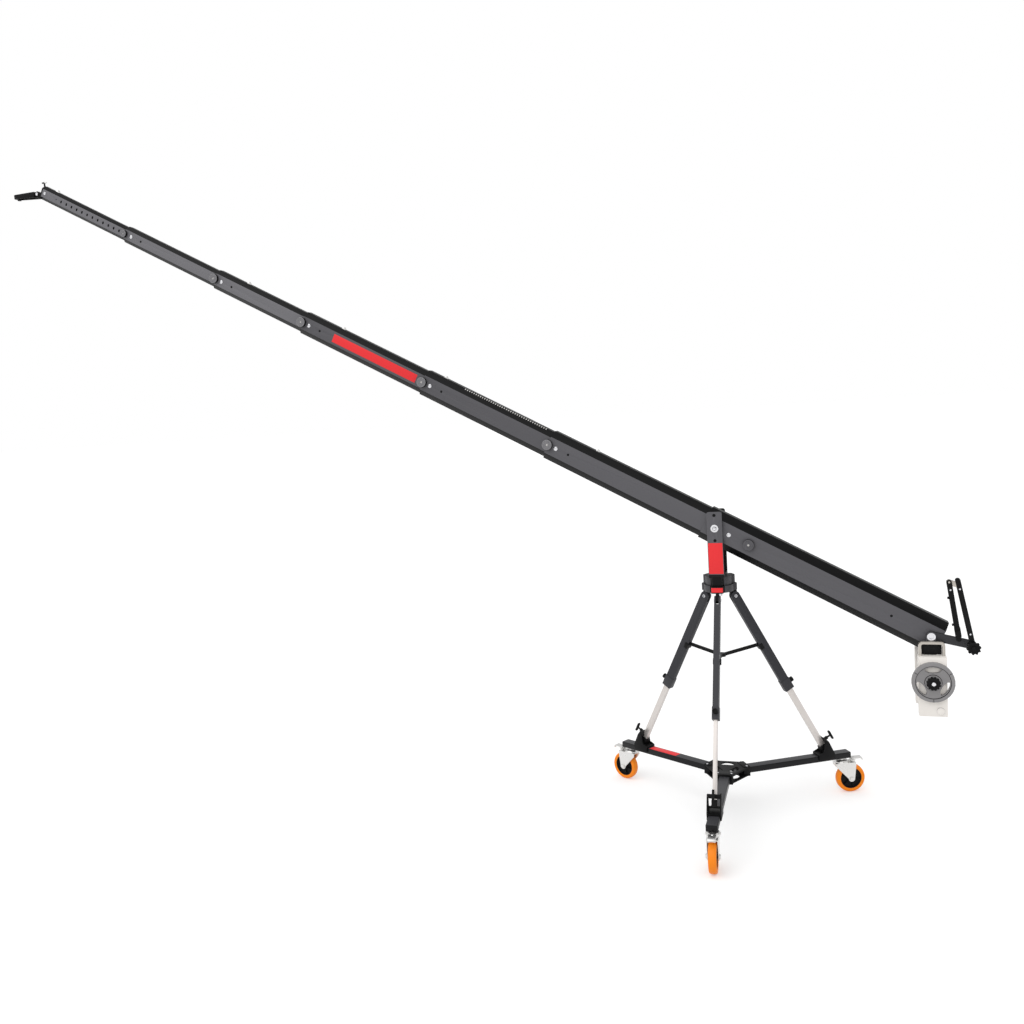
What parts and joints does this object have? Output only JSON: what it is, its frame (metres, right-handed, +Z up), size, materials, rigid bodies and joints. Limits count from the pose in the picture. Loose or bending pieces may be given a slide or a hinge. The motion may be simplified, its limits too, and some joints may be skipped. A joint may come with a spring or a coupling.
{
  "type": "camera jib crane",
  "caption": "Telescoping camera jib boom on a tilting fork with hanging counterweights, tripod and three-wheel caster dolly",
  "frame": {"origin": "on the floor under the middle of the whole", "axes": "+Z up, +X towards the counterweights, boom tip towards -X, knob side of the boom faces -Y"},
  "size_m": [4.4142, 0.9572, 3.0373],
  "materials": {
    "anodised_grey": "satin",
    "anodised_black": "satin",
    "leg_silver": "satin",
    "black_plastic": "matte",
    "zinc_steel": "satin",
    "pin_chrome": "polished",
    "weight_white": "satin",
    "weight_iron": "matte",
    "orange_tread": "satin"
  },
  "bodies": {
    "base": {"dolly_plate": "anodised_black", "tripod_crown": "anodised_black", "spreader": "anodised_black", "dolly_arm_front": "anodised_black", "upper_leg_front": "anodised_black", "lower_leg_front": "leg_silver", "foot_clamp_front": "anodised_black", "dolly_arm_right": "anodised_black", "upper_leg_right": "anodised_black", "lower_leg_right": "leg_silver", "foot_clamp_right": "anodised_black", "dolly_arm_left": "anodised_black", "upper_leg_left": "anodised_black", "lower_leg_left": "leg_silver", "foot_clamp_left": "anodised_black"},
    "pan_head": {"pan_fork": "anodised_grey"},
    "boom_1": {"boom_section_1": "anodised_grey", "rear_arm": "anodised_black"},
    "boom_2": {"boom_section_2": "anodised_grey"},
    "boom_3": {"boom_section_3": "anodised_grey"},
    "boom_4": {"boom_section_4": "anodised_grey"},
    "boom_5": {"boom_section_5": "anodised_grey"},
    "boom_6": {"boom_section_6": "anodised_grey"},
    "boom_7": {"boom_section_7": "anodised_grey", "tip_bracket": "anodised_black"},
    "clamp_1": {"clamp_knob_1": "black_plastic"},
    "pin_1": {"lock_pin_1": "pin_chrome"},
    "clamp_2": {"clamp_knob_2": "black_plastic"},
    "pin_2": {"lock_pin_2": "pin_chrome"},
    "clamp_3": {"clamp_knob_3": "black_plastic"},
    "pin_3": {"lock_pin_3": "pin_chrome"},
    "clamp_4": {"clamp_knob_4": "black_plastic"},
    "pin_4": {"lock_pin_4": "pin_chrome"},
    "clamp_5": {"clamp_knob_5": "black_plastic"},
    "pin_5": {"lock_pin_5": "pin_chrome"},
    "clamp_6": {"clamp_knob_6": "black_plastic"},
    "pin_6": {"lock_pin_6": "pin_chrome"},
    "platform": {"tip_platform": "anodised_black"},
    "weights": {"weight_hanger": "anodised_grey", "weight_block_near": "weight_white", "weight_disc_near": "weight_iron", "weight_block_far": "weight_white"},
    "weight_clamp_near": {"weight_knob_near": "black_plastic"},
    "monitor_lower": {"monitor_link_lower": "anodised_black"},
    "monitor_upper": {"monitor_link_upper": "anodised_black"},
    "monitor_clamp": {"rosette_knob": "black_plastic"},
    "leg_clamp_front": {"leg_knob_front": "black_plastic"},
    "caster_front": {"caster_fork_front": "zinc_steel"},
    "wheel_front": {"caster_wheel_front": "orange_tread"},
    "pedal_front": {"brake_pedal_front": "zinc_steel"},
    "leg_clamp_right": {"leg_knob_right": "black_plastic"},
    "caster_right": {"caster_fork_right": "zinc_steel"},
    "wheel_right": {"caster_wheel_right": "orange_tread"},
    "pedal_right": {"brake_pedal_right": "zinc_steel"},
    "leg_clamp_left": {"leg_knob_left": "black_plastic"},
    "caster_left": {"caster_fork_left": "zinc_steel"},
    "wheel_left": {"caster_wheel_left": "orange_tread"},
    "pedal_left": {"brake_pedal_left": "zinc_steel"}
  },
  "joints": [
    {"name": "pan", "type": "hinge", "parent": "base", "child": "pan_head", "pos_m": [1.23033, 0.15717, 0.98], "axis": [0, 0, 1], "continuous": true},
    {"name": "tilt", "type": "hinge", "parent": "pan_head", "child": "boom_1", "pos_m": [1.23033, 0.15717, 1.22], "axis": [0, 1, 0], "range_deg": [-44, 15]},
    {"name": "section_2_slide", "type": "slide", "parent": "boom_1", "child": "boom_2", "axis": [0.8788, 0, -0.4772], "range_m": [0, 0.525]},
    {"name": "section_3_slide", "type": "slide", "parent": "boom_2", "child": "boom_3", "axis": [0.8788, 0, -0.4772], "range_m": [0, 0.545]},
    {"name": "section_4_slide", "type": "slide", "parent": "boom_3", "child": "boom_4", "axis": [0.8788, 0, -0.4772], "range_m": [0, 0.455]},
    {"name": "section_5_slide", "type": "slide", "parent": "boom_4", "child": "boom_5", "axis": [0.8788, 0, -0.4772], "range_m": [0, 0.335]},
    {"name": "section_6_slide", "type": "slide", "parent": "boom_5", "child": "boom_6", "axis": [0.8788, 0, -0.4772], "range_m": [0, 0.48]},
    {"name": "section_7_slide", "type": "slide", "parent": "boom_6", "child": "boom_7", "axis": [0.8788, 0, -0.4772], "range_m": [0, 0.455]},
    {"name": "clamp_knob_1_turn", "type": "hinge", "parent": "boom_1", "child": "clamp_1", "pos_m": [1.36215, 0.10717, 1.14843], "axis": [0, -1, 0], "range_deg": [0, 270]},
    {"name": "lock_pin_1_pull", "type": "slide", "parent": "boom_1", "child": "pin_1", "axis": [0, -1, 0], "range_m": [0, 0.006], "stiffness_N_per_m": 250},
    {"name": "clamp_knob_2_turn", "type": "hinge", "parent": "boom_2", "child": "clamp_2", "pos_m": [0.5387, 0.11137, 1.59552], "axis": [0, -1, 0], "range_deg": [0, 270]},
    {"name": "lock_pin_2_pull", "type": "slide", "parent": "boom_2", "child": "pin_2", "axis": [0, -1, 0], "range_m": [0, 0.006], "stiffness_N_per_m": 250},
    {"name": "clamp_knob_3_turn", "type": "hinge", "parent": "boom_3", "child": "clamp_3", "pos_m": [-0.02374, 0.11557, 1.90091], "axis": [0, -1, 0], "range_deg": [0, 270]},
    {"name": "lock_pin_3_pull", "type": "slide", "parent": "boom_3", "child": "pin_3", "axis": [0, -1, 0], "range_m": [0, 0.006], "stiffness_N_per_m": 250},
    {"name": "clamp_knob_4_turn", "type": "hinge", "parent": "boom_4", "child": "clamp_4", "pos_m": [-0.60376, 0.11977, 2.21583], "axis": [0, -1, 0], "range_deg": [0, 270]},
    {"name": "lock_pin_4_pull", "type": "slide", "parent": "boom_4", "child": "pin_4", "axis": [0, -1, 0], "range_m": [0, 0.006], "stiffness_N_per_m": 250},
    {"name": "clamp_knob_5_turn", "type": "hinge", "parent": "boom_5", "child": "clamp_5", "pos_m": [-1.05196, 0.12397, 2.45918], "axis": [0, -1, 0], "range_deg": [0, 270]},
    {"name": "lock_pin_5_pull", "type": "slide", "parent": "boom_5", "child": "pin_5", "axis": [0, -1, 0], "range_m": [0, 0.006], "stiffness_N_per_m": 250},
    {"name": "clamp_knob_6_turn", "type": "hinge", "parent": "boom_6", "child": "clamp_6", "pos_m": [-1.53971, 0.12817, 2.724], "axis": [0, -1, 0], "range_deg": [0, 270]},
    {"name": "lock_pin_6_pull", "type": "slide", "parent": "boom_6", "child": "pin_6", "axis": [0, -1, 0], "range_m": [0, 0.006], "stiffness_N_per_m": 250},
    {"name": "platform_tilt", "type": "hinge", "parent": "boom_7", "child": "platform", "pos_m": [-2.04908, 0.15717, 2.97895], "axis": [0, 1, 0], "range_deg": [-45, 60]},
    {"name": "weights_swing", "type": "hinge", "parent": "boom_1", "child": "weights", "pos_m": [2.03708, 0.15717, 0.78197], "axis": [0, 1, 0], "range_deg": [-35, 60]},
    {"name": "weight_knob_near_turn", "type": "hinge", "parent": "weights", "child": "weight_clamp_near", "pos_m": [2.03708, 0.02717, 0.61497], "axis": [0, -1, 0], "range_deg": [0, 270]},
    {"name": "monitor_lower_swing", "type": "hinge", "parent": "boom_1", "child": "monitor_lower", "pos_m": [2.18108, 0.15717, 0.74897], "axis": [0, 1, 0], "range_deg": [-10, 95]},
    {"name": "monitor_upper_swing", "type": "hinge", "parent": "monitor_lower", "child": "monitor_upper", "pos_m": [2.10066, 0.15717, 1.00024], "axis": [0, 1, 0], "range_deg": [0, 165]},
    {"name": "rosette_knob_turn", "type": "hinge", "parent": "boom_1", "child": "monitor_clamp", "pos_m": [2.18108, 0.15717, 0.74897], "axis": [0, -1, 0], "range_deg": [0, 270]},
    {"name": "leg_knob_front_turn", "type": "hinge", "parent": "base", "child": "leg_clamp_front", "pos_m": [1.23282, -0.1282, 0.51921], "axis": [0.0077, -0.8805, 0.474], "range_deg": [0, 270]},
    {"name": "caster_front_swivel", "type": "hinge", "parent": "base", "child": "caster_front", "pos_m": [1.23502, -0.38081, 0.15], "axis": [0, 0, 1], "continuous": true},
    {"name": "wheel_front_roll", "type": "hinge", "parent": "caster_front", "child": "wheel_front", "pos_m": [1.23685, -0.41576, 0.0625], "axis": [0.9986, 0.0523, 0], "continuous": true},
    {"name": "brake_front_press", "type": "hinge", "parent": "caster_front", "child": "pedal_front", "pos_m": [1.23743, -0.42674, 0.1435], "axis": [0.9986, 0.0523, 0], "range_deg": [0, 18]},
    {"name": "leg_knob_right_turn", "type": "hinge", "parent": "base", "child": "leg_clamp_right", "pos_m": [1.47622, 0.30201, 0.51921], "axis": [0.7587, 0.4469, 0.474], "range_deg": [0, 270]},
    {"name": "caster_right_swivel", "type": "hinge", "parent": "base", "child": "caster_right", "pos_m": [1.69388, 0.43023, 0.15], "axis": [0, 0, 1], "continuous": true},
    {"name": "wheel_right_roll", "type": "hinge", "parent": "caster_right", "child": "wheel_right", "pos_m": [1.72633, 0.44334, 0.0625], "axis": [-0.3746, 0.9272, 0], "continuous": true},
    {"name": "brake_right_press", "type": "hinge", "parent": "caster_right", "child": "pedal_right", "pos_m": [1.73653, 0.44746, 0.1435], "axis": [-0.3746, 0.9272, 0], "range_deg": [0, 18]},
    {"name": "leg_knob_left_turn", "type": "hinge", "parent": "base", "child": "leg_clamp_left", "pos_m": [0.98195, 0.2977, 0.51921], "axis": [-0.7664, 0.4336, 0.474], "range_deg": [0, 270]},
    {"name": "caster_left_swivel", "type": "hinge", "parent": "base", "child": "caster_left", "pos_m": [0.76208, 0.4221, 0.15], "axis": [0, 0, 1], "continuous": true},
    {"name": "wheel_left_roll", "type": "hinge", "parent": "caster_left", "child": "wheel_left", "pos_m": [0.73089, 0.43799, 0.0625], "axis": [-0.454, -0.891, 0], "continuous": true},
    {"name": "brake_left_press", "type": "hinge", "parent": "caster_left", "child": "pedal_left", "pos_m": [0.72109, 0.44298, 0.1435], "axis": [-0.454, -0.891, 0], "range_deg": [0, 18]}
  ]
}
